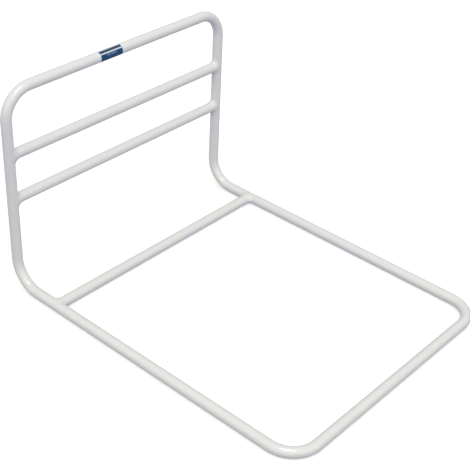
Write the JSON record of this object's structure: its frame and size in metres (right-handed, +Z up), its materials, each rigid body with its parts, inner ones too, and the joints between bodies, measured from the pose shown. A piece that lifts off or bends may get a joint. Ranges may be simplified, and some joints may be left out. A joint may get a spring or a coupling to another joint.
{
  "type": "bed assist rail",
  "caption": "Welded steel tube bed rail: an upright hoop with crossbars to hold on to, and a flat base loop that lies under the mattress.",
  "frame": {"origin": "on the ground, under the middle of the bounding box", "axes": "+X along the rail, +Y from the bed towards the rail, across which the base runs under the mattress, +Z up"},
  "size_m": [0.7054, 0.8764, 0.521],
  "materials": {
    "frame_paint": "semi-gloss off-white powder coat over steel tube",
    "sleeve_steel": "bare drawn steel, hidden inside the tubes",
    "label_film": "gloss printed film, blue with a pale border and no lettering"
  },
  "bodies": {
    "root": {"rail_hoop_tube": "frame_paint", "base_hoop_tube": "frame_paint", "upper_cross_rail": "frame_paint", "lower_cross_rail": "frame_paint", "base_cross_tube": "frame_paint", "upper_rail_left_weld": "frame_paint", "upper_rail_right_weld": "frame_paint", "lower_rail_left_weld": "frame_paint", "lower_rail_right_weld": "frame_paint", "base_tube_left_weld": "frame_paint", "base_tube_right_weld": "frame_paint", "left_butt_weld": "frame_paint", "right_butt_weld": "frame_paint", "left_joint_sleeve": "sleeve_steel", "right_joint_sleeve": "sleeve_steel", "rail_label": "label_film"}
  },
  "joints": []
}
